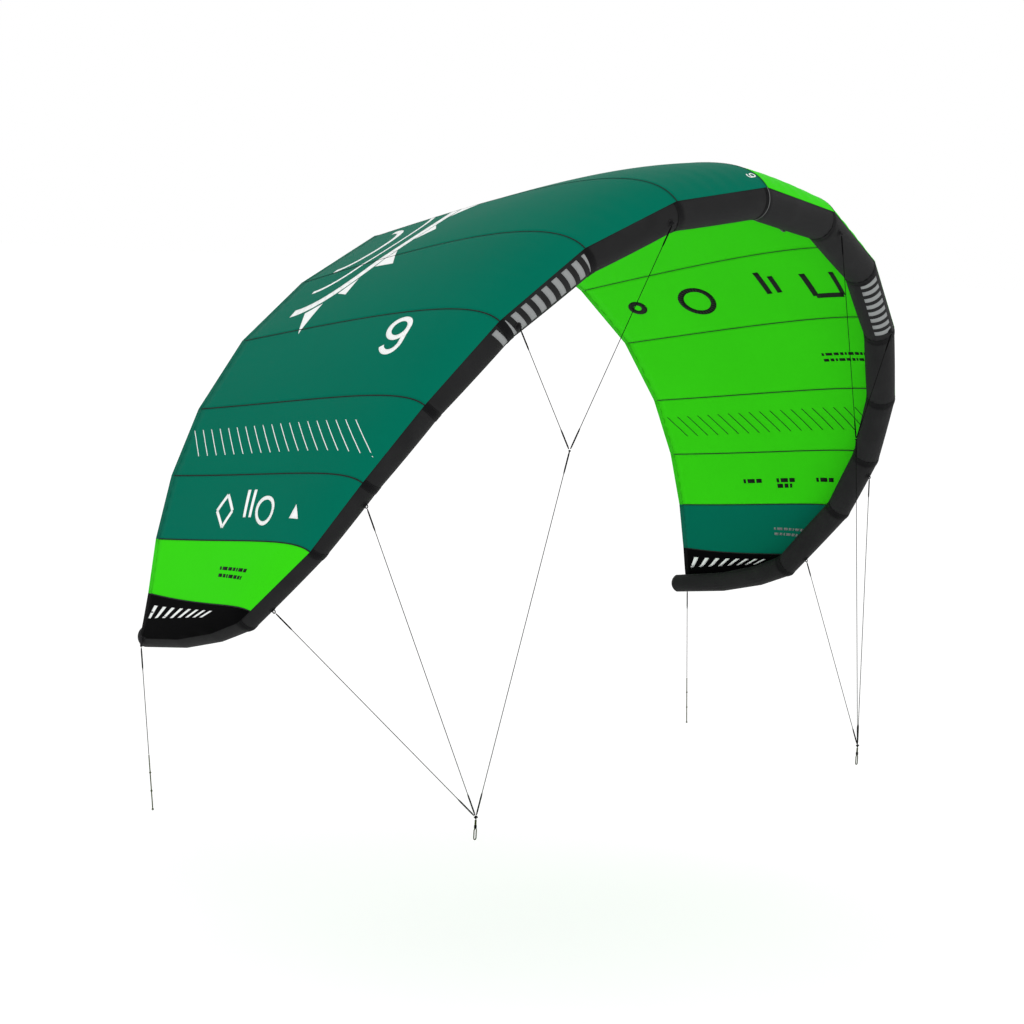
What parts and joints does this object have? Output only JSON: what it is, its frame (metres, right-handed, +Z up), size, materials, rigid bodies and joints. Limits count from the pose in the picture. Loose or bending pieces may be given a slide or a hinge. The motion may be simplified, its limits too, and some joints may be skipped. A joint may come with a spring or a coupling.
{
  "type": "inflatable power kite",
  "caption": "Arched single-skin kite with an inflatable leading edge tube, sewn canopy panels, a bridle on each side and knotted rear lines.",
  "frame": {"origin": "axis of the leading edge tube at the centre of the wing, where the kite is held up", "axes": "+X across the wing to its lime side, +Y from the leading edge to the trailing edge, +Z up"},
  "size_m": [3.9058, 1.8904, 2.9047],
  "materials": {
    "tube_cloth": "woven sleeve, soft sheen",
    "dark_green_cloth": "coated ripstop",
    "lime_cloth": "coated ripstop",
    "tip_cloth": "coated ripstop",
    "band": "woven tape",
    "webbing": "woven webbing",
    "line": "braided cord",
    "sleeve": "braided cover",
    "olive_cord": "braided cord",
    "bladder_film": "clear film",
    "valve_plastic": "moulded",
    "cap_plastic": "moulded"
  },
  "bodies": {
    "wing": {"left_tube_1": "tube_cloth", "left_panel_1": "dark_green_cloth", "left_tube_2": "tube_cloth", "left_panel_2": "dark_green_cloth", "left_tube_3": "tube_cloth", "left_panel_3": "dark_green_cloth", "left_tube_4": "tube_cloth", "left_panel_4": "dark_green_cloth", "left_tube_5": "tube_cloth", "left_panel_5": "dark_green_cloth", "left_tube_6": "tube_cloth", "left_panel_6": "dark_green_cloth", "left_tube_7": "tube_cloth", "left_panel_7": "lime_cloth", "left_tube_8": "tube_cloth", "left_panel_8": "tip_cloth", "right_tube_1": "tube_cloth", "right_panel_1": "lime_cloth", "right_tube_2": "tube_cloth", "right_panel_2": "lime_cloth", "right_tube_3": "tube_cloth", "right_panel_3": "lime_cloth", "right_tube_4": "tube_cloth", "right_panel_4": "lime_cloth", "right_tube_5": "tube_cloth", "right_panel_5": "lime_cloth", "right_tube_6": "tube_cloth", "right_panel_6": "lime_cloth", "right_tube_7": "tube_cloth", "right_panel_7": "dark_green_cloth", "right_tube_8": "tube_cloth", "right_panel_8": "tip_cloth", "left_line_a": "line", "left_line_b": "line", "left_line_main": "line", "left_line_c": "line", "left_line_d": "line", "right_line_a": "line", "right_line_b": "line", "right_line_main": "line", "right_line_c": "line", "right_line_d": "line", "tube_bands": "band", "bladder": "bladder_film", "trailing_tape": "band", "line_tabs": "webbing", "line_sleeves": "sleeve", "leash_loop": "webbing", "inflate_valve": "valve_plastic", "deflate_valve": "valve_plastic"},
    "inflate_cap": {"inflate_cap": "cap_plastic"},
    "deflate_cap": {"deflate_cap": "cap_plastic"},
    "left_front_hitch": {"left_front_hitch": "webbing"},
    "left_front_loop": {"left_front_loop": "olive_cord"},
    "left_rear_strap": {"left_rear_strap": "webbing"},
    "left_rear_pigtail": {"left_rear_pigtail": "olive_cord"},
    "right_front_hitch": {"right_front_hitch": "webbing"},
    "right_front_loop": {"right_front_loop": "olive_cord"},
    "right_rear_strap": {"right_rear_strap": "webbing"},
    "right_rear_pigtail": {"right_rear_pigtail": "olive_cord"}
  },
  "joints": [
    {"name": "inflate_cap_hinge", "type": "hinge", "parent": "wing", "child": "inflate_cap", "pos_m": [0.15031, 0.07392, -0.09297], "axis": [-0.9875, -0.0631, 0.1441], "range_deg": [0, 155]},
    {"name": "deflate_cap_hinge", "type": "hinge", "parent": "wing", "child": "deflate_cap", "pos_m": [0.34701, 0.08199, -0.128], "axis": [-0.9875, -0.0631, 0.1441], "range_deg": [0, 155]},
    {"name": "left_hitch_swing", "type": "hinge", "parent": "wing", "child": "left_front_hitch", "pos_m": [-1.37, 0.22, -2.585], "axis": [0, 1, 0], "range_deg": [-45, 45]},
    {"name": "left_loop_swing", "type": "hinge", "parent": "left_front_hitch", "child": "left_front_loop", "pos_m": [-1.37, 0.22, -2.5956], "axis": [1, 0, 0], "range_deg": [-60, 60]},
    {"name": "left_strap_swing", "type": "hinge", "parent": "wing", "child": "left_rear_strap", "pos_m": [-1.90067, 1.72538, -1.99584], "axis": [0, 1, 0], "range_deg": [-8, 60]},
    {"name": "left_pigtail_swing", "type": "hinge", "parent": "left_rear_strap", "child": "left_rear_pigtail", "pos_m": [-1.90067, 1.72538, -2.03929], "axis": [1, 0, 0], "range_deg": [-60, 60]},
    {"name": "right_hitch_swing", "type": "hinge", "parent": "wing", "child": "right_front_hitch", "pos_m": [1.37, 0.22, -2.585], "axis": [0, 1, 0], "range_deg": [-45, 45]},
    {"name": "right_loop_swing", "type": "hinge", "parent": "right_front_hitch", "child": "right_front_loop", "pos_m": [1.37, 0.22, -2.5956], "axis": [1, 0, 0], "range_deg": [-60, 60]},
    {"name": "right_strap_swing", "type": "hinge", "parent": "wing", "child": "right_rear_strap", "pos_m": [1.90067, 1.72538, -1.99584], "axis": [0, 1, 0], "range_deg": [-60, 8]},
    {"name": "right_pigtail_swing", "type": "hinge", "parent": "right_rear_strap", "child": "right_rear_pigtail", "pos_m": [1.90067, 1.72538, -2.03929], "axis": [1, 0, 0], "range_deg": [-60, 60]}
  ]
}
